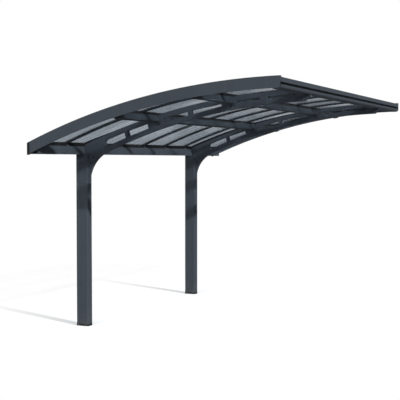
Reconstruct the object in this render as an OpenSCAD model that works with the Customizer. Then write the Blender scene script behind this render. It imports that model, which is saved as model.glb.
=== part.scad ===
// Cantilever carport: two posts near the low eave carry curved arms, and the arms carry a
// barrel-curved roof of clear sheets between two deep gable fascias.
// The roof runs along Y, the arms reach towards +X, and Z is up.
// The frame's origin is the centre of the front post's foot, at ground level.

/* [Roof] */
// Length of the roof along the eave
roof_l = 4950; // [3600:10:6000]
// Depth of the roof from the eave's outer face to the free edge
roof_d = 2850; // [2600:10:2900]
// Radius of the curved top edge
arch_r = 7275; // [6500:25:9000]
// Distance from the eave's outer face to the highest point of the curve
arch_crest = 2930; // [2900:10:3100]
// Height of the top edge above the ground at the eave's outer face
eave_top = 2102; // [2080:2:2300]

/* [Sheets and ribs] */
// Thickness of a roof sheet
sheet_t = 8; // [6:1:10]
// Depth of a sheet's top face below the top edge
sheet_drop = 22; // [18:1:26]
// Gap between two sheets above a rib
sheet_gap = 6; // [3:1:10]
// Distance from the eave's outer face to the sheets' lower ends
sheet_start = 48; // [40:2:70]
// Width of a rib
rib_w = 45; // [30:1:60]
// Height of a rib
rib_h = 14; // [8:1:17]
// Width of a half rib beside a gable fascia
edge_rib_w = 22; // [15:1:30]
// Width of a cap strip above a rib
cap_w = 40; // [30:1:60]
// Height of a cap strip
cap_h = 5; // [3:1:8]

/* [Fascias] */
// Thickness of a gable fascia
fascia_t = 40; // [25:1:60]
// Height of a gable fascia, square to its curve
fascia_h = 117; // [100:1:150]
// Radius of the rounded lower corner at the free edge
fascia_corner = 28; // [10:1:34]
// Length of the end cap that closes a gable fascia at the eave
end_cap_l = 32; // [20:1:44]

/* [Eave beam] */
// Width of the eave beam with its gutter
eave_w = 125; // [110:1:150]
// Underside of the eave beam above the ground
eave_bottom = 1983; // [1950:1:2010]
// Width of the eave beam's inner wall below the shadow groove
eave_wall = 20; // [16:1:30]
// Thickness of the gutter's outer wall and floor
gutter_wall = 5; // [3:1:8]
// Height of the gutter's outer lip above the eave beam's underside
gutter_lip = 84; // [60:1:86]
// Height of the shadow groove between the sheets and the eave beam's inner wall
eave_groove = 26; // [18:1:32]
// Height of the decorative line above the eave beam's underside
eave_line = 30; // [20:1:50]
// Height of the decorative line itself
line_h = 6; // [3:1:10]
// Depth of the decorative line
line_d = 4; // [2:1:8]

/* [Purlins and edge beam] */
// Distance from the eave's outer face to the middle of the first purlin
purlin_1_x = 1035; // [1000:5:1080]
// Distance from the eave's outer face to the middle of the second purlin
purlin_2_x = 1945; // [1900:5:1980]
// Width of a purlin
purlin_w = 50; // [44:1:70]
// Depth of a purlin's underside below the top edge
purlin_drop = 130; // [120:1:140]
// Height of the shadow groove along a purlin's top edges
purlin_groove = 18; // [10:1:24]
// Depth of the shadow grooves into the purlins and the eave beam
groove_d = 12; // [6:1:14]
// Width of the free edge beam
edge_w = 90; // [70:1:110]
// Height of the free edge beam
edge_h = 110; // [95:1:120]
// Depth of the free edge beam's top below the fascias' top
edge_drop = 12; // [8:1:16]
// Height of the free edge beam's upper strip
edge_strip = 45; // [38:1:52]
// Height of the groove in the free edge beam's outer face
edge_groove = 28; // [12:1:33]
// Depth of that groove
edge_groove_d = 32; // [10:1:50]
// Depth of the slot that holds the sheets in the free edge beam
sheet_seat = 18; // [10:1:30]

/* [Posts] */
// Size of a post along X
post_w = 155; // [130:1:180]
// Size of a post along Y
post_t = 98; // [80:1:120]
// Wall thickness of a post
post_wall = 4; // [3:0.5:6]
// Outer radius of a post's long corners
post_r = 12; // [8:1:20]
// Distance from the eave's outer face to a post's outer face
post_in = 23; // [15:1:30]
// Distance between the two posts' middles
post_span = 2953; // [2400:1:3400]
// Thickness of a foot plate
foot_t = 8; // [6:1:12]
// Height of the sleeve on a foot plate
sleeve_h = 120; // [80:5:200]
// Wall thickness of the sleeve
sleeve_wall = 4; // [3:0.5:6]
// Diameter of an anchor hole
anchor_d = 13; // [9:0.5:17]
// Distance between anchor holes along X
anchor_x = 96; // [80:1:104]
// Distance between anchor holes along Y
anchor_y = 46; // [36:1:52]

/* [Arms] */
// Thickness of an arm
arm_t = 50; // [36:1:80]
// Depth of an arm's top below the top edge
arm_top = 58; // [50:1:64]
// Depth of an arm's underside near the post
arm_root = 242; // [225:1:260]
// Depth of an arm's underside at the tip
arm_end = 187; // [175:1:200]
// Radius of an arm's underside
arm_low_r = 6290; // [6000:10:6600]
// Radius of the bend between an arm and its post
gusset_r = 385; // [300:5:450]
// Depth of the slots' top below the top edge
slot_top = 108; // [96:1:112]
// Depth of the slots' underside at the first slot
slot_root = 184; // [176:1:200]
// Depth of the slots' underside at the free edge
slot_end = 118; // [114:1:130]
// Start of the first slot from the eave's outer face
slot_start = 344; // [330:2:380]
// Radius of the slots' corners
slot_r = 9; // [4:1:10]
// Radius at the rounded start of the first slot
slot_start_r = 28; // [10:1:32]
// Width of the strut between two slots
strut_w = 40; // [20:1:60]
// Distance from the eave's outer face to the middle of the first strut
strut_1_x = 630; // [560:2:700]
// Distance from the eave's outer face to the middle of the second strut
strut_2_x = 1432; // [1360:2:1540]
// Distance from the eave's outer face to the middle of the third strut
strut_3_x = 2340; // [2260:2:2360]
// Solid length of an arm between a slot's end and the purlin or beam after it
land_before = 102; // [60:1:120]
// Solid length of an arm between a purlin and the slot after it
land_after = 40; // [20:1:70]
// Place of the arm's root depth from the eave's outer face
root_x = 400; // [380:5:440]

/* [Fits] */
// Clearance at curved seats and at sliding fits
fit = 0.3; // [0.2:0.05:0.5]

/* [Hidden] */

// Roof sheets side by side, with a node for each
sheets = 8;
// Facets of the large arcs, of the small round holes and of the slots' corners
arc_fn = 256;
hole_fn = 48;
corner_fn = 32;
// Colours of the powder-coated frame, the anchor plates and the sheets
frame_colour = [0.27, 0.29, 0.32];
cap_colour = [0.1, 0.11, 0.12];
foot_colour = [0.6, 0.61, 0.62];
sheet_colour = [0.58, 0.62, 0.66, 0.7];

// Places along Y
front_post_y = (roof_l - post_span) / 2;
rear_post_y = front_post_y + post_span;
bay = roof_l / sheets;
inner_l = roof_l - 2 * fascia_t;
// Places along X
post_x = post_in + post_w / 2;
post_face = post_in + post_w;
edge_x = roof_d - edge_w;
eave_neck = eave_w - groove_d;
// The middle of the roof's curve
crest_z = eave_top - sqrt(arch_r * arch_r - arch_crest * arch_crest);
// Depths below the top edge
sheet_low = sheet_drop + sheet_t;
rib_top = sheet_low + fit;
rib_low = rib_top + rib_h;
purlin_top = rib_top + purlin_groove;
purlin_neck = purlin_w - 2 * groove_d;
// Top of the eave beam's inner wall, below its shadow groove
eave_ledge = drop_z(eave_neck, rib_top + eave_groove);
// Edge beam's top, level with the curve's depth at the free edge
edge_top = drop_z(roof_d, 0) - edge_drop;
// Middle of the arm's lower arc, through one point near the post and one at the tip
low_mid = arc_middle(root_x, drop_z(root_x, arm_root), edge_x, drop_z(edge_x, arm_end),
    arm_low_r);
// The bend touches the post's face and the arm's underside
bend_x = post_face + gusset_r;
bend_z = low_mid[1] + sqrt(pow(arm_low_r - gusset_r, 2) - pow(bend_x - low_mid[0], 2));
bend_end = low_mid[0] + (bend_x - low_mid[0]) * arm_low_r / (arm_low_r - gusset_r);
// Size that covers any part of the roof in a cutting shape
reach = 2 * arch_r;
// Distances from a purlin's middle to the slot before it and to the slot after it
slot_before = purlin_w / 2 + land_before;
slot_after = purlin_w / 2 + land_after;

// Height of the curve that lies a given depth below the top edge
function drop_z(x, drop) =
    crest_z + sqrt(pow(arch_r - drop, 2) - pow(x - arch_crest, 2));
// Angle of a place on the roof, measured from upright
function tilt(x) = asin((x - arch_crest) / arch_r);
// Middle of an arc of radius r that bulges upwards through two points
function arc_middle(x1, z1, x2, z2, r) =
    let (dx = x2 - x1, dz = z2 - z1, d = sqrt(dx * dx + dz * dz))
    let (h = sqrt(r * r - d * d / 4))
    [(x1 + x2) / 2 + h * dz / d, (z1 + z2) / 2 - h * dx / d];
// Point at a place on the roof, a given depth below the top edge
function at(x, drop) = [
    arch_crest + (arch_r - drop) * sin(tilt(x)),
    crest_z + (arch_r - drop) * cos(tilt(x))
];
// Depth of the slots' underside, which tapers evenly along the arm
function slot_low(x) =
    slot_root + (slot_end - slot_root) * (x - slot_start) / (edge_x - slot_start);
// Turn of a disc of radius r that brings corners of its facets close to both ends of a piece
function facet_turn(r, x0, x1) =
    let (first = asin((x0 - arch_crest) / r), last = asin((x1 - arch_crest) / r))
    let (steps = (last - first) * arc_fn / 360)
    -first - (steps - round(steps)) * 180 / arc_fn;
// Place along Y of the line between two sheets
function rib_y(i) = i * bay;

// Moves a piece from the eave's outer face and the front gable to the part's frame
module placed() {
    translate([-post_x, -front_post_y, 0]) children();
}
// Stands a flat outline up in the XZ plane, from y0 over a length
module across(y0, length) {
    translate([0, y0 + length, 0])
        rotate([90, 0, 0])
            linear_extrude(height = length) children();
}
// Disc whose rim lies a given depth below the top edge, for a piece that ends at x0 and x1
module disc(drop, x0 = 0, x1 = 0) {
    translate([arch_crest, crest_z])
        rotate(facet_turn(arch_r - drop, x0, x1))
            circle(r = arch_r - drop, $fn = arc_fn);
}
// Band of the curved roof between two depths
module band(high, low, x0 = 0, x1 = 0) {
    difference() {
        disc(high, x0, x1);
        disc(low, x0, x1);
    }
}
// Upright window between two places along X
module window(x0, x1) {
    translate([x0, 0]) square([x1 - x0, reach]);
}
// Wedge of the roof between two places, cut square to the curve
module wedge(x0, x1) {
    polygon([[arch_crest, crest_z], at(x0, -reach), at(x1, -reach)]);
}
// Strip of a given width that is square to the curve at x
module strip(x, width) {
    translate([arch_crest, crest_z])
        rotate(-tilt(x))
            translate([-width / 2, 0]) square([width, reach]);
}

// Upright bar with rounded corners, centred on the Z axis
module bar(w, t, r, z0, h) {
    translate([0, 0, z0]) linear_extrude(height = h) {
        square([w - 2 * r, t], center = true);
        square([w, t - 2 * r], center = true);
        for (sx = [-1, 1], sy = [-1, 1])
            translate([sx * (w / 2 - r), sy * (t / 2 - r)]) circle(r = r, $fn = hole_fn);
    }
}

// Foot plate with the sleeve that fits inside the post
module foot(y) {
    gap = post_wall + fit;
    inner = gap + sleeve_wall;
    placed() translate([post_x, y, 0]) color(foot_colour) difference() {
        union() {
            bar(post_w, post_t, post_r, 0, foot_t);
            bar(post_w - 2 * gap, post_t - 2 * gap, post_r - gap, 0, foot_t + sleeve_h);
        }
        translate([-post_w / 2 + inner, -post_t / 2 + inner, foot_t])
            cube([post_w - 2 * inner, post_t - 2 * inner, sleeve_h + 1]);
        for (sx = [-1, 1], sy = [-1, 1])
            translate([sx * anchor_x / 2, sy * anchor_y / 2, -1])
                cylinder(h = foot_t + 2, d = anchor_d, $fn = hole_fn);
    }
}

// Hollow post that stands on its foot plate and is closed under the eave beam
module post(y) {
    placed() translate([post_x, y, 0]) color(frame_colour) difference() {
        bar(post_w, post_t, post_r, foot_t, eave_bottom - foot_t);
        bar(post_w - 2 * post_wall, post_t - 2 * post_wall, post_r - post_wall, foot_t - 1,
            eave_bottom - foot_t - post_wall + 1);
    }
}

// Space under an arm's curved underside
module below_arm() {
    intersection() {
        translate(low_mid) circle(r = arm_low_r, $fn = arc_fn);
        window(bend_end, reach);
    }
    translate([bend_x, bend_z]) circle(r = gusset_r, $fn = arc_fn);
    translate([post_face, 0]) square([roof_d, bend_z]);
}
// Outline of the whole arm with its seats for the purlins
module arm_outline() {
    difference() {
        intersection() {
            disc(arm_top);
            union() {
                translate([eave_w, eave_bottom]) square([edge_x - eave_w, reach]);
                translate([post_face, bend_z]) square([edge_x - post_face, reach]);
            }
        }
        below_arm();
        translate([0, eave_ledge]) square([eave_w, reach]);
        for (x = [purlin_1_x, purlin_2_x]) intersection() {
            strip(x, purlin_w + 2 * fit);
            band(0, purlin_drop + fit);
        }
    }
}
// Slot between two places along the arm, with its own corner radius at each end
module slot(x0, x1, r0, r1) {
    ends = [[x0 + r0, r0, slot_low(x0)], [x1 - r1, r1, slot_low(x1)]];
    hull()
        for (end = ends, drop = [slot_top + end[1], end[2] - end[1]])
            translate(at(end[0], drop)) circle(r = end[1], $fn = corner_fn);
}
// Part of an arm between two places, with a slot on each side of its strut
module arm_part(y, x0, x1, s0, s1, strut_x, r0 = slot_r) {
    placed() across(y - arm_t / 2, arm_t) color(frame_colour) difference() {
        intersection() {
            arm_outline();
            wedge(x0, x1);
        }
        slot(s0, strut_x - strut_w / 2, r0, slot_r);
        slot(strut_x + strut_w / 2, s1, slot_r, slot_r);
    }
}
module arm_root(y) {
    arm_part(y, -roof_d, purlin_1_x, slot_start, purlin_1_x - slot_before, strut_1_x,
        slot_start_r);
}
module arm_middle(y) {
    arm_part(y, purlin_1_x, purlin_2_x, purlin_1_x + slot_after, purlin_2_x - slot_before,
        strut_2_x);
}
module arm_tip(y) {
    arm_part(y, purlin_2_x, roof_d, purlin_2_x + slot_after, edge_x - land_before,
        strut_3_x);
}

// Eave beam with an open gutter behind its inner wall
module eave_beam() {
    placed() across(fascia_t, inner_l) color(frame_colour) {
        translate([0, eave_bottom]) square([eave_w, gutter_wall]);
        translate([0, eave_bottom]) square([gutter_wall, gutter_lip]);
        difference() {
            translate([eave_w - eave_wall, eave_bottom])
                square([eave_wall, eave_ledge - eave_bottom]);
            translate([eave_w - line_d, eave_bottom + eave_line]) square([line_d + 1, line_h]);
        }
        intersection() {
            disc(rib_top, eave_neck, eave_neck);
            translate([eave_w - eave_wall, eave_bottom]) square([eave_wall - groove_d, reach]);
        }
    }
}

// Purlin with a narrower neck under the sheets
module purlin(x) {
    placed() across(fascia_t, inner_l) color(frame_colour) {
        intersection() {
            strip(x, purlin_w);
            band(purlin_top, purlin_drop, x, x);
        }
        intersection() {
            strip(x, purlin_neck);
            band(rib_top, purlin_drop, x, x);
        }
    }
}

// What the rounded lower corner at the free edge takes off a piece with its underside at z
module corner_cut(z) {
    difference() {
        translate([roof_d - fascia_corner, z - fascia_corner])
            square([2 * fascia_corner, 2 * fascia_corner]);
        translate([roof_d - fascia_corner, z + fascia_corner])
            circle(r = fascia_corner, $fn = hole_fn);
    }
}

// Free edge beam with a groove outside and a slot for the sheets inside
module edge_beam() {
    placed() across(fascia_t, inner_l) color(frame_colour) difference() {
        translate([edge_x, edge_top - edge_h]) square([edge_w, edge_h]);
        corner_cut(edge_top - edge_h);
        translate([roof_d - edge_groove_d, edge_top - edge_strip - edge_groove])
            square([edge_groove_d + 1, edge_groove]);
        intersection() {
            band(sheet_drop - fit, sheet_low + fit);
            window(edge_x - 1, edge_x + sheet_seat);
        }
    }
}

// Stretch of a gable fascia between two places, with its rounded lower corner at the free edge
module fascia_part(y0, x0, x1) {
    placed() across(y0, fascia_t) difference() {
        intersection() {
            band(0, fascia_h, x0, x1);
            window(x0, x1);
        }
        corner_cut(drop_z(roof_d, fascia_h));
    }
}
// Gable fascia up to its end cap
module fascia(y0) {
    color(frame_colour) fascia_part(y0, end_cap_l, roof_d);
}
// End caps that close both fascias at the eave
module fascia_end_caps() {
    for (y0 = [0, roof_l - fascia_t])
        color(cap_colour) fascia_part(y0, 0, end_cap_l);
}

// Rib in three lengths between the necks of the eave beam and the purlins and the edge beam
module rib(y0, width) {
    placed() across(y0, width) color(frame_colour) difference() {
        intersection() {
            band(rib_top, rib_low, eave_neck, edge_x);
            window(eave_neck, edge_x);
        }
        strip(purlin_1_x, purlin_neck);
        strip(purlin_2_x, purlin_neck);
    }
}
module middle_rib(i) {
    rib(rib_y(i) - rib_w / 2, rib_w);
}

// Curved roof sheet that lies on the ribs
module sheet(i) {
    y0 = i == 1 ? fascia_t + fit : rib_y(i - 1) + sheet_gap / 2;
    y1 = i == sheets ? roof_l - fascia_t - fit : rib_y(i) - sheet_gap / 2;
    x1 = edge_x + sheet_seat - fit;
    placed() across(y0, y1 - y0) color(sheet_colour) intersection() {
        band(sheet_drop, sheet_low, sheet_start, x1);
        window(sheet_start, x1);
    }
}

// Cap strips over the gaps between the sheets
module rib_caps() {
    for (i = [1 : sheets - 1])
        placed() across(rib_y(i) - cap_w / 2, cap_w) color(frame_colour) intersection() {
            band(sheet_drop - fit - cap_h, sheet_drop - fit, sheet_start, edge_x);
            window(sheet_start, edge_x);
        }
}

foot(front_post_y);  // front_foot
foot(rear_post_y);  // rear_foot
post(front_post_y);  // front_post
post(rear_post_y);  // rear_post
arm_root(front_post_y);  // front_arm_root
arm_middle(front_post_y);  // front_arm_middle
arm_tip(front_post_y);  // front_arm_tip
arm_root(rear_post_y);  // rear_arm_root
arm_middle(rear_post_y);  // rear_arm_middle
arm_tip(rear_post_y);  // rear_arm_tip
eave_beam();
purlin(purlin_1_x);  // purlin_1
purlin(purlin_2_x);  // purlin_2
edge_beam();
fascia(0);  // front_fascia
fascia(roof_l - fascia_t);  // rear_fascia
fascia_end_caps();
rib(fascia_t, edge_rib_w);  // front_edge_rib
middle_rib(1);  // rib_1
middle_rib(2);  // rib_2
middle_rib(3);  // rib_3
middle_rib(4);  // rib_4
middle_rib(5);  // rib_5
middle_rib(6);  // rib_6
middle_rib(7);  // rib_7
rib(roof_l - fascia_t - edge_rib_w, edge_rib_w);  // rear_edge_rib
sheet(1);  // sheet_1
sheet(2);  // sheet_2
sheet(3);  // sheet_3
sheet(4);  // sheet_4
sheet(5);  // sheet_5
sheet(6);  // sheet_6
sheet(7);  // sheet_7
sheet(8);  // sheet_8
rib_caps();
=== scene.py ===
# %% [markdown]
# A cantilever carport, dressed around its packed construction. The posts, arms, beams, ribs
# and sheets come in as a fixed frame, in metres, with Z up. This lesson gives them their
# finishes and adds what a fitter adds last: screws, seals, collars and bolts. Nothing in the
# frame is moved, so every place below is read from the frame itself.

# %% Load the frame
import bpy
import bmesh
import math
from mathutils import Matrix, Vector


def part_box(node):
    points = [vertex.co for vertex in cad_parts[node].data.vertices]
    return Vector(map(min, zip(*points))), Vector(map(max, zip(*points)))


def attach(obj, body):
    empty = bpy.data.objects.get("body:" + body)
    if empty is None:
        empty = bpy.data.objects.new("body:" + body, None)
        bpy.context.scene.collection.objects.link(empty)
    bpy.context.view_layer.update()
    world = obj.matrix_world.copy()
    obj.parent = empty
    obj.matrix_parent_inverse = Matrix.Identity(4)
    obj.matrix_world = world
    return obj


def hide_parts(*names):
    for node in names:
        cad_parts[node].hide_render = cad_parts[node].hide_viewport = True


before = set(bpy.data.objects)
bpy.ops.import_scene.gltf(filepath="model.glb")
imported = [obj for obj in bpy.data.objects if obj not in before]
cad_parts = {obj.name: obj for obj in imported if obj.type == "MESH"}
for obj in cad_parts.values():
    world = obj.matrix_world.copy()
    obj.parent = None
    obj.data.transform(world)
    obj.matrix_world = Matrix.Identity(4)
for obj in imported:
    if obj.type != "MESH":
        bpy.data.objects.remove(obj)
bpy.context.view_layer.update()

# %% [markdown]
# Most pieces follow the roof's curve. The curve is one circle, so three points of a gable
# fascia's top edge are enough to find its middle and radius. Everything that lies on the
# roof is then placed by how far along and how deep below that edge it is. Typing the radius
# in would be shorter, but the scene would no longer follow a frame of another size.

# %% Measure the roof's curve
def points_of(node):
    return [v.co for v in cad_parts[node].data.vertices]


def top_corner(points, x):
    return max((p for p in points if abs(p.x - x) < 1e-4), key=lambda p: p.z)


def highest_above(points, a, c):
    return max(points, key=lambda p: (c.x - a.x) * (p.z - a.z) - (c.z - a.z) * (p.x - a.x))


def circle_through(a, b, c):
    d = 2 * (a.x * (b.z - c.z) + b.x * (c.z - a.z) + c.x * (a.z - b.z))
    sa, sb, sc = (p.x ** 2 + p.z ** 2 for p in (a, b, c))
    mx = (sa * (b.z - c.z) + sb * (c.z - a.z) + sc * (a.z - b.z)) / d
    mz = (sa * (c.x - b.x) + sb * (a.x - c.x) + sc * (b.x - a.x)) / d
    return mx, mz, math.hypot(a.x - mx, a.z - mz)


fascia_points = points_of("front_fascia")
fascia_low, fascia_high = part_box("front_fascia")
eave_end = top_corner(fascia_points, fascia_low.x)
free_end = top_corner(fascia_points, fascia_high.x)
between = highest_above(fascia_points, eave_end, free_end)
arch_x, arch_z, arch_r = circle_through(eave_end, between, free_end)
print("roof radius:", round(arch_r, 3), "middle:", round(arch_x, 3), round(arch_z, 3))


# %% Places on the roof
def depth_of(point):
    return arch_r - math.hypot(point.x - arch_x, point.z - arch_z)


def roof_lean(x, depth=0.0):
    return math.asin((x - arch_x) / (arch_r - depth))


def roof_place(x, y, depth):
    """Matrix with Z square to the roof and X up the slope, a given depth below the top edge."""
    lean = roof_lean(x, depth)
    z = arch_z + (arch_r - depth) * math.cos(lean)
    return Matrix.Translation((x, y, z)) @ Matrix.Rotation(lean, 4, "Y")


cap_top = min(depth_of(p) for p in points_of("rib_caps"))
sheet_top = min(depth_of(p) for p in points_of("sheet_1"))
sheet_low = max(depth_of(p) for p in points_of("sheet_1"))
print("depths of cap tops, sheet tops and sheet undersides:",
      [round(d, 4) for d in (cap_top, sheet_top, sheet_low)])

# %% [markdown]
# A finish needs detail at more than one scale. Powder coat has a fine orange-peel skin, a
# faint cloudiness, and the film of dust that settles on it outdoors. Effects that several
# materials share are node groups with named inputs and outputs. Copying the nodes into every
# material would work too, but a group is corrected in one place. The short helpers below keep
# those trees readable: one makes a group, the others add a node and wire it at once.

# %% Helpers for shader trees
def new_group(name, inputs, outputs):
    group = bpy.data.node_groups.new(name, "ShaderNodeTree")
    for label, value in inputs.items():
        socket = group.interface.new_socket(label, in_out="INPUT", socket_type="NodeSocketFloat")
        socket.default_value = value
    for label in outputs:
        group.interface.new_socket(label, in_out="OUTPUT", socket_type="NodeSocketFloat")
    return group, group.nodes.new("NodeGroupInput"), group.nodes.new("NodeGroupOutput")


def plug(tree, slot, value):
    if isinstance(value, bpy.types.NodeSocket):
        tree.links.new(value, slot)
    else:
        slot.default_value = value


def add(tree, kind, **inputs):
    node = tree.nodes.new(kind)
    for label, value in inputs.items():
        plug(tree, node.inputs[label.replace("_", " ")], value)
    return node


def maths(tree, operation, *values):
    node = tree.nodes.new("ShaderNodeMath")
    node.operation = operation
    for slot, value in zip(node.inputs, values):
        plug(tree, slot, value)
    return node.outputs[0]


def blend_colour(tree, factor, first, second):
    node = tree.nodes.new("ShaderNodeMix")
    node.data_type = "RGBA"
    slots = (node.inputs[0], node.inputs[6], node.inputs[7])
    for slot, value in zip(slots, (factor, first, second)):
        plug(tree, slot, value)
    return node.outputs[2]


def remap(tree, value, low, high, to_low=0.0, to_high=1.0):
    node = tree.nodes.new("ShaderNodeMapRange")
    for slot, number in zip(node.inputs, (value, low, high, to_low, to_high)):
        plug(tree, slot, number)
    return node.outputs[0]


def object_place(tree):
    return tree.nodes.new("ShaderNodeTexCoord").outputs["Object"]


def noise(tree, place, scale, detail=3.0, roughness=0.55):
    return add(
        tree, "ShaderNodeTexNoise", Vector=place, Scale=scale, Detail=detail, Roughness=roughness
    ).outputs["Fac"]


def split(tree, vector):
    return add(tree, "ShaderNodeSeparateXYZ", Vector=vector).outputs


# %% Group: the skin of a sprayed coat, fine grain and slow cloudiness
def build_coat_skin():
    group, start, end = new_group(
        "coat_skin", {"Grain Size": 900.0, "Cloud Size": 2.0}, ("Height", "Cloud")
    )
    place = object_place(group)
    grain = noise(group, place, start.outputs["Grain Size"], 2.0)
    cloud = noise(group, place, start.outputs["Cloud Size"], 3.0, 0.6)
    plug(group, end.inputs["Height"], grain)
    plug(group, end.inputs["Cloud"], remap(group, cloud, 0.3, 0.7))
    return group


coat_skin = build_coat_skin()
print("group:", coat_skin.name)

# %% [markdown]
# Outdoors, dust settles where a face looks up, splashes reach the lowest part of the posts,
# and rain leaves faint runs. Painting this on would need every piece unwrapped. Noise in the
# frame's own metres needs nothing of the kind and runs on from piece to piece.

# %% Group: dust on faces that look up, splashes near the ground, and faint rain runs
def build_weather():
    group, start, end = new_group(
        "weather", {"Splash Height": 0.35, "Top Dust": 0.5, "Runs": 0.1}, ("Dust",)
    )
    place = object_place(group)
    height = split(group, place)["Z"]
    upward = split(group, group.nodes.new("ShaderNodeNewGeometry").outputs["Normal"])["Z"]
    broken = remap(group, noise(group, place, 7.0, 6.0, 0.65), 0.35, 0.7)
    top = maths(group, "MULTIPLY", remap(group, upward, 0.55, 0.95), start.outputs["Top Dust"])
    low = maths(group, "DIVIDE", height, start.outputs["Splash Height"])
    splash = remap(group, low, 0.0, 1.0, 0.14, 0.0)
    squeeze = add(group, "ShaderNodeVectorMath", Vector=place)
    squeeze.operation = "MULTIPLY"
    squeeze.inputs[1].default_value = (30.0, 30.0, 0.8)
    runs = remap(group, noise(group, squeeze.outputs[0], 1.0, 4.0, 0.7), 0.52, 0.8)
    runs = maths(group, "MULTIPLY", runs, start.outputs["Runs"])
    where = maths(group, "MULTIPLY", maths(group, "MAXIMUM", top, splash), broken)
    plug(group, end.inputs["Dust"], maths(group, "MAXIMUM", where, runs))
    return group


weather = build_weather()
print("group:", weather.name)

# %% [markdown]
# The frame is anthracite powder coat over aluminium. The profiles are straight and clean, so
# the finish carries the look: a dark blue-grey, half matt, a touch lighter where dust lies.
# One colour for all would do at a distance. One function makes every coated material instead
# and takes only the values that differ. The arms, the purlins and the ribs get darker copies
# of the coat. These are painted shade for the places they stand in under the roof.

# %% Helpers for materials
def use_group(tree, group, **values):
    node = tree.nodes.new("ShaderNodeGroup")
    node.node_tree = group
    for label, value in values.items():
        plug(tree, node.inputs[label.replace("_", " ")], value)
    return node.outputs


def new_material(name):
    material = bpy.data.materials.new(name)
    material.use_nodes = True
    return material, material.node_tree, material.node_tree.nodes["Principled BSDF"]


def scaled(colour, share):
    return tuple(min(1.0, c * share) for c in colour[:3]) + (1.0,)


# %% Material: powder coat
DUST = (0.30, 0.29, 0.27, 1.0)


def powder_coat(name, colour, roughness=0.78, top_dust=0.35):
    material, tree, surface = new_material(name)
    skin = use_group(tree, coat_skin, Grain_Size=700.0, Cloud_Size=3.0)
    dust = use_group(tree, weather, Splash_Height=0.25, Top_Dust=top_dust, Runs=0.08)["Dust"]
    paint = blend_colour(tree, skin["Cloud"], scaled(colour, 0.94), scaled(colour, 1.06))
    plug(tree, surface.inputs["Base Color"], blend_colour(tree, dust, paint, DUST))
    rough = remap(tree, skin["Cloud"], 0.0, 1.0, roughness - 0.05, roughness + 0.05)
    rough = maths(tree, "MULTIPLY_ADD", dust, 0.4, rough)
    plug(tree, surface.inputs["Roughness"], rough)
    bump = add(tree, "ShaderNodeBump", Strength=0.12, Distance=0.0004, Height=skin["Height"])
    plug(tree, surface.inputs["Normal"], bump.outputs["Normal"])
    surface.inputs["Specular IOR Level"].default_value = 0.03
    return material


anthracite = powder_coat("anthracite_coat", (0.067, 0.079, 0.095, 1.0))
# Painted shade: the arms hang under the roof, so their copy of the coat is darker.
arm_coat_painted_shade = powder_coat("anthracite_coat_arms", (0.057, 0.067, 0.081, 1.0))
# Painted shade: the ribs' undersides stay out of the sun, so their copy of the coat is much darker.
rib_coat_painted_shade = powder_coat("anthracite_coat_ribs_painted_shade", (0.026, 0.032, 0.038, 1.0))
# Painted shade: the purlins stand in the shade of the sheets, so their copy of the coat is darker.
purlin_coat_painted_shade = powder_coat("anthracite_coat_purlins_painted_shade", (0.034, 0.041, 0.050, 1.0))
print("materials:", anthracite.name, arm_coat_painted_shade.name, rib_coat_painted_shade.name, purlin_coat_painted_shade.name)

# %% [markdown]
# The roof sheets are grey polycarbonate. From below they are an even mid grey, lit through
# from the sky, and they let the sun pass, so the ribs draw shadows on the beams. Plain glass
# would stop the lamps and leave the space below in the dark. Rough transmission gives the soft
# light from above, and a Light Path switch lets the lamps through.

# %% Material: grey roof sheet
def grey_sheet(name, tint, lamp_tint):
    material, tree, surface = new_material(name)
    place = object_place(tree)
    squeeze = add(tree, "ShaderNodeVectorMath", Vector=place)
    squeeze.operation = "MULTIPLY"
    squeeze.inputs[1].default_value = (0.35, 9.0, 0.35)
    streaks = noise(tree, squeeze.outputs[0], 6.0, 4.0)
    colour = blend_colour(
        tree, remap(tree, streaks, 0.35, 0.65), scaled(tint, 0.96), scaled(tint, 1.04)
    )
    plug(tree, surface.inputs["Base Color"], colour)
    plug(tree, surface.inputs["Roughness"], remap(tree, streaks, 0.3, 0.7, 0.20, 0.30))
    surface.inputs["Transmission Weight"].default_value = 1.0
    surface.inputs["IOR"].default_value = 1.06
    path = tree.nodes.new("ShaderNodeLightPath")
    clear = add(tree, "ShaderNodeBsdfTransparent", Color=lamp_tint)
    switch = tree.nodes.new("ShaderNodeMixShader")
    plug(tree, switch.inputs[0], path.outputs["Is Shadow Ray"])
    plug(tree, switch.inputs[1], surface.outputs[0])
    plug(tree, switch.inputs[2], clear.outputs[0])
    plug(tree, tree.nodes["Material Output"].inputs["Surface"], switch.outputs[0])
    return material


roof_sheet = grey_sheet("grey_sheet", (0.310, 0.350, 0.395, 1.0), (0.86, 0.87, 0.88, 1.0))
print("material:", roof_sheet.name)

# %% [markdown]
# End caps and collars are moulded plastic, and the seals and packings are black rubber. Dark
# powder coat would come close, but a moulded skin has a finer grain, and its gloss changes
# with that grain. So it has a function of its own, which uses the same two groups.

# %% Material: dark moulded plastic, for end caps and collars
def moulded_plastic(name, colour, roughness=0.5):
    material, tree, surface = new_material(name)
    skin = use_group(tree, coat_skin, Grain_Size=1400.0, Cloud_Size=6.0)
    dust = use_group(tree, weather, Splash_Height=0.2, Top_Dust=0.3, Runs=0.05)["Dust"]
    plain = blend_colour(tree, skin["Cloud"], scaled(colour, 0.9), scaled(colour, 1.1))
    plug(tree, surface.inputs["Base Color"], blend_colour(tree, dust, plain, DUST))
    rough = remap(tree, skin["Height"], 0.3, 0.7, roughness - 0.08, roughness + 0.08)
    plug(tree, surface.inputs["Roughness"], rough)
    bump = add(tree, "ShaderNodeBump", Strength=0.2, Distance=0.0003, Height=skin["Height"])
    plug(tree, surface.inputs["Normal"], bump.outputs["Normal"])
    surface.inputs["Specular IOR Level"].default_value = 0.04
    return material


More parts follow.
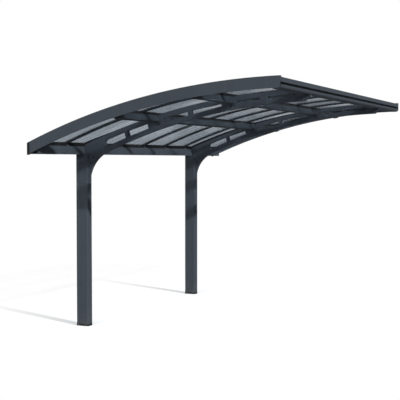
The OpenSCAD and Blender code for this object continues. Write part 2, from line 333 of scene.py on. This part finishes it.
black_plastic = moulded_plastic("black_plastic", (0.016, 0.018, 0.020, 1.0))
seal_rubber = moulded_plastic("seal_rubber", (0.010, 0.010, 0.011, 1.0), 0.7)
print("materials:", black_plastic.name, seal_rubber.name)

# %% [markdown]
# The foot plates are aluminium straight from the mill, and the screws are zinc plated or dark.
# Bare metal is seen by what it reflects, so it is fully metallic and only its tint and its
# roughness drift a little. A bump would add nothing at this size.

# %% Material: bare metal, for foot plates and screws
def bare_metal(name, colour, roughness):
    material, tree, surface = new_material(name)
    skin = use_group(tree, coat_skin, Grain_Size=300.0, Cloud_Size=30.0)
    colour = blend_colour(tree, skin["Cloud"], scaled(colour, 0.8), colour)
    plug(tree, surface.inputs["Base Color"], colour)
    rough = remap(tree, skin["Cloud"], 0.0, 1.0, roughness, roughness + 0.15)
    plug(tree, surface.inputs["Roughness"], rough)
    surface.inputs["Metallic"].default_value = 1.0
    return material


foot_metal = bare_metal("mill_aluminium", (0.6, 0.61, 0.62, 1.0), 0.35)
screw_metal = bare_metal("zinc_screws", (0.50, 0.51, 0.53, 1.0), 0.3)
dark_screws = bare_metal("dark_screws", (0.16, 0.17, 0.18, 1.0), 0.4)
print("materials:", foot_metal.name, screw_metal.name, dark_screws.name)

# %% [markdown]
# Each node's name says what the piece is, and so which finish it gets. A table with a line for
# every node would do the same, but a short rule on names also covers a rib or a sheet that is
# added later.

# %% Give every node of the frame its finish
def finish_of(name):
    if name.startswith("sheet"):
        return roof_sheet
    if name.endswith("foot"):
        return foot_metal
    if name == "fascia_end_caps":
        return black_plastic
    # The ribs, the purlins and the arms take the darker coats that carry painted shade.
    if "rib" in name and name != "rib_caps":
        return rib_coat_painted_shade
    if name.startswith("purlin"):
        return purlin_coat_painted_shade
    if "_arm_" in name:
        return arm_coat_painted_shade
    return anthracite


for name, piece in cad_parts.items():
    piece.data.materials.clear()
    piece.data.materials.append(finish_of(name))
print("finished nodes:", len(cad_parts))

# %% [markdown]
# Extruded profiles have slightly broken edges, and those catch the light as fine lines. A
# bevel modifier rounds the edges of the frame's pieces by a millimetre or two and leaves
# their sizes as they are. Cutting the edges into the meshes would look the same, but a
# modifier stays easy to change. The sheets' edges are all covered, so they go without.

# %% Break the sharp edges
EDGE_BREAK = 0.0015


def soften_edges(piece, width):
    bevel = piece.modifiers.new("soft_edges", "BEVEL")
    bevel.width = width
    bevel.segments = 2
    bevel.limit_method = "ANGLE"
    bevel.angle_limit = math.radians(40)


softened = [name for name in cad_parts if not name.startswith("sheet")]
for name in softened:
    soften_edges(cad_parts[name], EDGE_BREAK)
print("softened nodes:", len(softened))

# %% [markdown]
# What a fitter adds last is small, so it is modelled as meshes in the frame's own metres.
# Each mesh says where it sits and its object stays at the origin. Most of these parts are
# sections drawn along a path, as they are when they are extruded, so two helpers are enough:
# one skins a row of outlines, and one turns the mesh into a piece of the carport.

# %% Helpers for meshes
def skin(mesh, outlines):
    """Join outlines with equal numbers of points into a closed skin."""
    rings = [[mesh.verts.new(point) for point in outline] for outline in outlines]
    for low, high in zip(rings, rings[1:]):
        for i in range(len(low)):
            j = (i + 1) % len(low)
            mesh.faces.new((low[i], low[j], high[j], high[i]))
    mesh.faces.new(rings[0][::-1])
    mesh.faces.new(rings[-1])


def make_piece(name, mesh, material):
    bmesh.ops.recalc_face_normals(mesh, faces=mesh.faces)
    data = bpy.data.meshes.new(name)
    mesh.to_mesh(data)
    mesh.free()
    data.materials.append(material)
    piece = bpy.data.objects.new(name, data)
    bpy.context.collection.objects.link(piece)
    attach(piece, "root")
    print(name + ":", len(data.polygons), "faces")
    return piece


# %% [markdown]
# All the screws are the same kind: a domed head with a round recess, on a sealing washer.
# One function turns that profile about an axis, and a matrix says where each head sits.

# %% Helper: a screw head on its washer
def round_outline(place, radius, height, sides=16):
    turns = [2 * math.pi * i / sides for i in range(sides)]
    return [place @ Vector((radius * math.cos(a), radius * math.sin(a), height)) for a in turns]


def screw(mesh, place, head=0.0052, washer=0.008):
    tall = head * 0.62
    thick = washer * 0.2
    profile = [
        (washer, 0), (washer, thick * 0.6), (washer * 0.9, thick), (head, thick),
        (head, thick + tall * 0.35), (head * 0.9, thick + tall * 0.7),
        (head * 0.62, thick + tall), (head * 0.42, thick + tall), (head * 0.36, thick + tall * 0.4),
    ]
    skin(mesh, [round_outline(place, radius, height) for radius, height in profile])


# %% [markdown]
# A black rubber seal closes each gap between the sheets and the beams that carry them. Its
# flap hangs over the beam's face, so it reads as a dark line under the sheets. One long seal
# would run through the ribs, so it is drawn bay by bay. The ribs' boxes in the frame give the
# stretches between them.

# %% Stretches between the ribs
RIBS = ["front_edge_rib"] + [f"rib_{i}" for i in range(1, 8)] + ["rear_edge_rib"]
rib_boxes = [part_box(name) for name in RIBS]
bays = [(low[1].y, high[0].y) for low, high in zip(rib_boxes, rib_boxes[1:])]
rib_middles = [(low.y + high.y) / 2 for low, high in rib_boxes[1:-1]]
print("bays:", [round(b - a, 3) for a, b in bays])


def along_bays(mesh, outline, gap=0.0005):
    """Draw one outline, as X and Z pairs, through every bay."""
    for start, end in bays:
        skin(mesh, [[Vector((x, y, z)) for x, z in outline] for y in (start + gap, end - gap)])


# %% Seal above the eave beam
FLAP_OUT = 0.0016
FLAP_DROP = 0.013

beam_points = points_of("eave_beam")
beam_face = max(p.x for p in beam_points)
beam_ledge = max(p.z for p in beam_points if p.x > beam_face - 1e-4)
beam_neck = max(p.x for p in beam_points if p.z > beam_ledge + 0.01)
front = beam_face + FLAP_OUT
sheet_over = roof_place(beam_neck, 0, sheet_low).translation.z
eave_outline = [
    (beam_neck, beam_ledge), (beam_face, beam_ledge), (beam_face, beam_ledge - FLAP_DROP),
    (front, beam_ledge - FLAP_DROP + 0.001), (front, sheet_over - 0.003),
    (front - 0.002, sheet_over), (beam_neck, sheet_over),
]
mesh = bmesh.new()
along_bays(mesh, eave_outline)
make_piece("eave_seal", mesh, seal_rubber)


# %% [markdown]
# A purlin stands square to the roof, so it leans, and it has such a seal on both of its sides.
# Its section is measured in the purlin's own leaning axes and then turned into place. That is
# simpler than working out leaning corners one by one.

# %% Seals on both sides of the purlins
def purlin_sizes(node):
    points = points_of(node)
    top = min(depth_of(p) for p in points)
    neck = [p.x for p in points if depth_of(p) < top + 0.003]
    place = roof_place((min(neck) + max(neck)) / 2, 0, top)
    local = [place.inverted() @ p for p in points]
    half = max(abs(p.x) for p in local)
    neck_half = max(abs(p.x) for p in local if p.z > -0.003)
    shoulder = max(p.z for p in local if abs(p.x) > neck_half + 0.002)
    return place, neck_half, half, shoulder


for node in ("purlin_1", "purlin_2"):
    place, neck_half, half, shoulder = purlin_sizes(node)
    out = half + FLAP_OUT
    mesh = bmesh.new()
    for side in (-1, 1):
        section = [
            (neck_half, shoulder), (half, shoulder), (half, shoulder - FLAP_DROP),
            (out, shoulder - FLAP_DROP + 0.001), (out, -0.003), (out - 0.002, -0.0002),
            (neck_half, -0.0002),
        ]
        spots = [place @ Vector((side * u, 0, w)) for u, w in section]
        along_bays(mesh, [(p.x, p.z) for p in spots])
    make_piece(node + "_seals", mesh, seal_rubber)
print("purlin shoulder depth:", round(-shoulder, 4))

# %% [markdown]
# The arms stand lower than the purlins. A rubber packing lies on each arm: it fills the
# space under the sheets at the eave, tapers off toward the free edge and then stays thin. The
# rear arm's packing keeps its height further along than the front one's. A plain strip has
# one height, so the section is worked out anew at many places along each arm instead.

# %% Packings on top of the arms
def steps(first, last, count):
    return [first + (last - first) * i / (count - 1) for i in range(count)]


def follow_roof(mesh, section_at, first, last, count):
    """Draw a section, as Y and depth pairs that may change with X, along the roof."""
    skin(mesh, [
        [roof_place(x, y, depth).translation for y, depth in section_at(x)]
        for x in steps(first, last, count)
    ])


ARM_PARTS = [
    f"{side}_arm_{part}" for side in ("front", "rear") for part in ("root", "middle", "tip")
]
PACKING_HALF = 0.0235
PACKING_TOP_HALF = 0.020
THIN = 0.004
THIN_FROM = {"front": 0.4, "rear": 2.0}

arm_top = min(depth_of(p) for p in points_of("front_arm_root"))
tallest = arm_top - sheet_low - 0.0004
mesh = bmesh.new()
for node in ARM_PARTS:
    upper = [p.x for p in points_of(node) if depth_of(p) < arm_top + 0.001]
    middle = sum(corner.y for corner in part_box(node)) / 2
    thin_from = THIN_FROM[node.split("_")[0]]

    def packing(x):
        foot = arm_top - 0.0002
        tall = tallest + (THIN - tallest) * min(1.0, x / thin_from)
        half_side = [
            (PACKING_HALF, foot), (PACKING_HALF, foot - tall * 0.75),
            (PACKING_TOP_HALF, foot - tall),
        ]
        other = [(-y, depth) for y, depth in reversed(half_side)]
        return [(middle + y, depth) for y, depth in half_side + other]

    follow_roof(mesh, packing, min(upper) + 0.003, max(upper) - 0.003, 17)
make_piece("arm_packings", mesh, seal_rubber)
print("space over the arms:", round(arm_top - sheet_low, 4))

# %% [markdown]
# The gable boards are profiles too. A thick head holds the sheets' edges, and a thin skirt
# hangs below it and hides the ribs. A bracket in each profile takes the end of every beam. The
# profiles take the place of the frame's plain boards and keep their outlines: the skirt is
# the board's own mesh, made thinner, and the head and the brackets are drawn along the roof.

# %% Gable profiles with a thin skirt
SKIRT = 0.008
HEAD_H = 0.050


def on_roof(x, y, depth):
    """The point at this X and Y, a given depth below the roof's top edge."""
    return Vector((x, y, arch_z + math.sqrt((arch_r - depth) ** 2 - (x - arch_x) ** 2)))


for side, way in (("front", 1), ("rear", -1)):
    board = side + "_fascia"
    low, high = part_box(board)
    outer, inner = (low.y, high.y) if way > 0 else (high.y, low.y)
    mesh = bmesh.new()
    mesh.from_mesh(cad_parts[board].data)
    for vert in mesh.verts:
        vert.co.y = outer + (vert.co.y - outer) * SKIRT / (high.y - low.y)
    seam = outer + way * SKIRT
    head = [(seam, 0.0), (inner, 0.0), (inner, HEAD_H), (seam, HEAD_H)]
    skin(mesh, [[on_roof(x, y, depth) for y, depth in head] for x in steps(low.x, high.x, 65)])
    foot = max(depth_of(p) for p in points_of(board)) - 0.001
    bracket = [(seam, HEAD_H), (inner, HEAD_H), (inner, foot), (seam, foot)]
    for beam in ("eave_beam", "purlin_1", "purlin_2", "edge_beam"):
        beam_start, beam_stop = (corner.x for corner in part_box(beam))
        span = steps(max(beam_start, low.x), min(beam_stop, high.x - 0.03), 7)
        skin(mesh, [[on_roof(x, y, depth) for y, depth in bracket] for x in span])
    profile = make_piece(side + "_gable_profile", mesh, anthracite)
    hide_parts(board)
    soften_edges(profile, EDGE_BREAK)

# %% [markdown]
# On top, a cap strip clamps each pair of sheets. A soft lip runs along both its edges and
# sheds water, and a row of screws with sealing washers holds it to the rib below. The lip
# follows the roof, so its section is set at many places along the curve.

# %% Lips along the cap strips
CAP_HALF = 0.020
LIP_OUT = 0.0025

caps_low, caps_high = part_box("rib_caps")
mesh = bmesh.new()
for middle in rib_middles:
    for side in (-1, 1):
        edge = middle + side * CAP_HALF
        lip = [(edge, sheet_top), (edge + side * LIP_OUT, sheet_top), (edge, cap_top + 0.0015)]
        follow_roof(mesh, lambda x: lip, caps_low.x + 0.002, caps_high.x - 0.002, 49)
make_piece("cap_lips", mesh, seal_rubber)

# %% [markdown]
# The screws stand square to the roof at even steps along each strip. An array modifier could
# not follow the curve as simply as a loop does, and one mesh holds them all, because they
# never move.

# %% Screws along the cap strips
SCREWS_PER_CAP = 8
SCREW_INSET = 0.06

cap_screw_places = steps(caps_low.x + SCREW_INSET, caps_high.x - SCREW_INSET, SCREWS_PER_CAP)
mesh = bmesh.new()
for middle in rib_middles:
    for x in cap_screw_places:
        screw(mesh, roof_place(x, middle, cap_top))
make_piece("cap_screws", mesh, dark_screws)
print("cap screws:", len(rib_middles) * len(cap_screw_places))

# %% [markdown]
# A thin folded profile guards the cut lower end of each sheet over the gutter. Its C section
# is pushed over the end, between one cap strip and the next. The section is straight along
# the eave, so two outlines and the skin between them are enough.

# %% Profiles that close the sheets' lower ends
TRIM_WALL = 0.0012
TRIM_LEG = 0.016

end_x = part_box("sheet_1")[0].x
trim_out, trim_in = end_x - TRIM_WALL, end_x + TRIM_LEG
mesh = bmesh.new()
for i, (start, end) in enumerate(bays):
    y0 = start + 0.001 if i == 0 else rib_middles[i - 1] + CAP_HALF + LIP_OUT
    y1 = end - 0.001 if i == len(bays) - 1 else rib_middles[i] - CAP_HALF - LIP_OUT
    c_section = [
        (trim_in, sheet_top - TRIM_WALL), (trim_out, sheet_top - TRIM_WALL),
        (trim_out, sheet_low + TRIM_WALL), (trim_in, sheet_low + TRIM_WALL),
        (trim_in, sheet_low), (end_x, sheet_low), (end_x, sheet_top), (trim_in, sheet_top),
    ]
    skin(mesh, [[roof_place(x, y, depth).translation for x, depth in c_section] for y in (y0, y1)])
make_piece("sheet_end_trims", mesh, anthracite)

# %% [markdown]
# A moulded collar hides the joint between each post and its foot plate. It is a ring with
# the post's rounded corners, a little proud of the post, and its top edge slopes so that
# water runs off. Four small screws hold it. A scaled box would fill the post, so outlines are
# joined into a ring instead.

# %% Collars round the feet
COLLAR_H = 0.027
COLLAR_OUT = 0.0022
POST_CORNER = 0.012
COLLAR_SCREW_APART = 0.1


def rounded_outline(middle, half_x, half_y, radius, z, arc=6):
    points = []
    for k, (sx, sy) in enumerate(((1, 1), (-1, 1), (-1, -1), (1, -1))):
        for i in range(arc + 1):
            angle = math.pi / 2 * (k + i / arc)
            points.append(Vector((
                middle.x + sx * (half_x - radius) + radius * math.cos(angle),
                middle.y + sy * (half_y - radius) + radius * math.sin(angle),
                z,
            )))
    return points


def ring(mesh, outlines):
    """Join closed outlines into a tube whose last outline meets its first."""
    rings = [[mesh.verts.new(point) for point in outline] for outline in outlines]
    for low, high in zip(rings, rings[1:] + rings[:1]):
        for i in range(len(low)):
            j = (i + 1) % len(low)
            mesh.faces.new((low[i], low[j], high[j], high[i]))


for side in ("front", "rear"):
    low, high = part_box(side + "_post")
    middle = low.lerp(high, 0.5)
    half_x, half_y = (high.x - low.x) / 2, (high.y - low.y) / 2
    levels = [
        (0.0002, 0.0), (COLLAR_OUT, 0.0), (COLLAR_OUT, COLLAR_H - 0.004),
        (COLLAR_OUT * 0.6, COLLAR_H - 0.001), (0.0002, COLLAR_H),
    ]
    mesh = bmesh.new()
    ring(mesh, [
        rounded_outline(middle, half_x + out, half_y + out, POST_CORNER + out, z)
        for out, z in levels
    ])
    make_piece(side + "_foot_collar", mesh, black_plastic)
    mesh = bmesh.new()
    for sx in (-1, 1):
        for sy in (-1, 1):
            along, face = sx * COLLAR_SCREW_APART / 2, sy * (half_y + COLLAR_OUT)
            spot = Vector((middle.x + along, middle.y + face, 0.013))
            turn = Matrix.Rotation(-sy * math.pi / 2, 4, "X")
            screw(mesh, Matrix.Translation(spot) @ turn, 0.0035, 0.0045)
    make_piece(side + "_collar_screws", mesh, screw_metal)

# %% [markdown]
# Bolts hold each arm to its post and to the purlins, under black dome caps on both faces of
# the arm. They sit on the solid stretches beside the slots, just below each purlin. The screw
# head from above serves again, larger and turned on its side.

# %% Bolts through the arms
ROOT_BOLTS = ((0.03, 0.10), (0.07, 0.03))
PURLIN_BOLT_APART = 0.036
PURLIN_BOLT_DROP = 0.125


def arm_bolt_spots(side):
    root_low, root_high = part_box(side + "_arm_root")
    post_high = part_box(side + "_post")[1]
    spots = [(post_high.x + out, post_high.z - down) for out, down in ROOT_BOLTS]
    for node in ("purlin_1", "purlin_2"):
        place = purlin_sizes(node)[0]
        for way in (-1, 1):
            spot = place @ Vector((way * PURLIN_BOLT_APART / 2, 0, -PURLIN_BOLT_DROP))
            spots.append((spot.x, spot.z))
    return root_low.y, root_high.y, spots


mesh = bmesh.new()
for side in ("front", "rear"):
    near, far, spots = arm_bolt_spots(side)
    for x, z in spots:
        for y, way in ((near, 1), (far, -1)):
            turn = Matrix.Rotation(way * math.pi / 2, 4, "X")
            screw(mesh, Matrix.Translation((x, y, z)) @ turn, 0.008, 0.0105)
make_piece("arm_bolt_caps", mesh, black_plastic)
print("bolts through each arm:", len(spots))

# %% [markdown]
# Each arm stands deeper than the beam along the free edge. A folded cap closes the arm's
# end below that beam and tapers up to the beam's far side. It is folded sheet metal, so it is
# made of two thin cheeks and a thin sole, not of one solid block.

# %% Caps on the ends of the arms
END_CAP_WALL = 0.0012
END_CAP_INSET = 0.012

beam_low, beam_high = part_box("edge_beam")
cap_end = beam_high.x - END_CAP_INSET
mesh = bmesh.new()
for side in ("front", "rear"):
    tip = [p for p in points_of(side + "_arm_tip") if p.x > beam_low.x - 0.004]
    tip_low = min(p.z for p in tip)
    near, far = min(p.y for p in tip), max(p.y for p in tip)
    cap_side = [
        (beam_low.x + 0.0002, beam_low.z - 0.0002), (beam_low.x + 0.0002, tip_low),
        (beam_low.x + END_CAP_INSET, tip_low + 0.001), (cap_end - 0.004, beam_low.z - 0.010),
        (cap_end, beam_low.z - 0.006), (cap_end, beam_low.z - 0.0002),
    ]
    skin(mesh, [[Vector((x, y, z)) for x, z in cap_side] for y in (near, near + END_CAP_WALL)])
    skin(mesh, [[Vector((x, y, z)) for x, z in cap_side] for y in (far - END_CAP_WALL, far)])
    sole = cap_side[1:]
    inner = [(x - 0.0004, z + END_CAP_WALL) for x, z in reversed(sole)]
    skin(mesh, [
        [Vector((x, y, z)) for x, z in sole + inner]
        for y in (near + END_CAP_WALL, far - END_CAP_WALL)
    ])
make_piece("arm_end_caps", mesh, anthracite)
print("arm ends below the edge beam:", round(beam_low.z - tip_low, 3))

# %% [markdown]
# The stage is a pale floor under a soft sky. The floor shows itself to the camera as nearly
# white and keeps the shadows, clearest near the feet. A white surround is shown to the camera,
# to reflections and through the sheets. Stronger lamps would turn the floor white as well, but
# they would wash out the carport, so the rays decide what is seen and the lamps stay low.

# %% Which rays see the pale surround
def background_rays(tree):
    path = tree.nodes.new("ShaderNodeLightPath").outputs
    seen = maths(tree, "MAXIMUM", path["Is Camera Ray"], path["Is Glossy Ray"])
    return path["Is Camera Ray"], maths(tree, "MAXIMUM", seen, path["Is Transmission Ray"])


# %% Floor
FLOOR_HALF = 60.0
FLOOR_LIFT = 0.3
FOOT_PLACES = [
    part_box(node)[0].lerp(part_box(node)[1], 0.5) * Vector((1, 1, 0))
    for node in ("front_foot", "rear_foot")
]


def pale_floor():
    material, tree, surface = new_material("pale_floor")
    camera_ray, seen = background_rays(tree)
    colour = blend_colour(tree, camera_ray, (0.16, 0.16, 0.16, 1), (1.0, 1.0, 1.0, 1))
    plug(tree, surface.inputs["Base Color"], colour)
    surface.inputs["Roughness"].default_value = 0.9
    surface.inputs["Specular IOR Level"].default_value = 0.0
    strength = maths(tree, "MULTIPLY", seen, FLOOR_LIFT)
    lift = add(tree, "ShaderNodeEmission", Color=(1, 1, 1, 1), Strength=strength)
    lifted = tree.nodes.new("ShaderNodeAddShader")
    plug(tree, lifted.inputs[0], surface.outputs[0])
    plug(tree, lifted.inputs[1], lift.outputs[0])
    glow = add(tree, "ShaderNodeEmission", Color=(1, 1, 1, 1), Strength=1.0)
    pale = tree.nodes.new("ShaderNodeMixShader")
    feet = [add(tree, "ShaderNodeVectorMath", Vector=object_place(tree)) for _ in FOOT_PLACES]
    for measure, foot in zip(feet, FOOT_PLACES):
        measure.operation = "DISTANCE"
        measure.inputs[1].default_value = foot
    away = maths(tree, "MINIMUM", feet[0].outputs["Value"], feet[1].outputs["Value"])
    fade = remap(tree, away, 0.2, 2.3, 0.02, 0.93)
    plug(tree, pale.inputs[0], maths(tree, "MULTIPLY", seen, fade))
    plug(tree, pale.inputs[1], lifted.outputs[0])
    plug(tree, pale.inputs[2], glow.outputs[0])
    plug(tree, tree.nodes["Material Output"].inputs["Surface"], pale.outputs[0])
    return material


floor_mesh = bpy.data.meshes.new("floor")
turns = ((-1, -1), (1, -1), (1, 1), (-1, 1))
corners = [(x * FLOOR_HALF, y * FLOOR_HALF, 0) for x, y in turns]
floor_mesh.from_pydata(corners, [], [(0, 1, 2, 3)])
floor_mesh.materials.append(pale_floor())
floor = bpy.data.objects.new("floor", floor_mesh)
bpy.context.collection.objects.link(floor)
print("floor:", 2 * FLOOR_HALF, "m wide")

# %% [markdown]
# The sky lights every side a little and very slightly blue, which keeps the undersides of the
# roof readable. A sky texture would bring its own sun and horizon, so one plain colour is used.

# %% Sky
world = bpy.data.worlds.new("soft_sky")
bpy.context.scene.world = world
world.use_nodes = True
sky = world.node_tree
sky_light = sky.nodes["Background"]
sky_light.inputs["Color"].default_value = (0.965, 0.985, 1.0, 1)
sky_light.inputs["Strength"].default_value = 0.3
white = add(sky, "ShaderNodeBackground", Color=(1, 1, 1, 1), Strength=1.0)
sky_mix = sky.nodes.new("ShaderNodeMixShader")
plug(sky, sky_mix.inputs[0], background_rays(sky)[1])
plug(sky, sky_mix.inputs[1], sky_light.outputs[0])
plug(sky, sky_mix.inputs[2], white.outputs[0])
plug(sky, sky.nodes["World Output"].inputs["Surface"], sky_mix.outputs[0])
print("world:", world.name)

# %% [markdown]
# A sun on the roof's open side draws the ribs' shadows on the beams, and a wide, soft fill
# comes from the front. Area lamps would fade along five metres of roof. Sun lamps light all of
# it evenly, and the angle they cover sets how soft their shadows are.

# %% Lamps
def far_lamp(name, comes_from, energy, degrees_wide):
    lamp = bpy.data.lights.new(name, "SUN")
    lamp.energy = energy
    lamp.angle = math.radians(degrees_wide)
    holder = bpy.data.objects.new(name, lamp)
    holder.rotation_euler = comes_from.to_track_quat("Z", "Y").to_euler()
    bpy.context.collection.objects.link(holder)
    height = math.degrees(math.asin(comes_from.normalized().z))
    print(name, "stands", round(height, 1), "degrees high")


far_lamp("sun", Vector((0.787, -0.340, 0.437)), energy=2.5, degrees_wide=0.45)
far_lamp("front_fill", Vector((0.0, -1.0, 0.35)), energy=1.15, degrees_wide=50)

# %% [markdown]
# The camera stands outside the front gable, beyond the roof's free edge and a little above eye
# level. From there the arms, the purlins and the underside of the roof all show. A wide lens
# close by would show them too, but a long lens from further away keeps the shapes calm.

# %% Camera
camera_data = bpy.data.cameras.new("camera")
camera_data.lens = 87.39
camera_data.sensor_width = 36.0
camera = bpy.data.objects.new("camera", camera_data)
camera.location = (5.840, -9.679, 1.916)
heading, drop = math.radians(24.29), math.radians(2.34)
look = Vector((-math.sin(heading), math.cos(heading), -math.tan(drop)))
camera.rotation_euler = look.to_track_quat("-Z", "Y").to_euler()
bpy.context.collection.objects.link(camera)
bpy.context.scene.camera = camera
bpy.context.scene.view_settings.view_transform = "Standard"
print("camera lens:", camera_data.lens, "mm, at height", round(camera.location.z, 3))
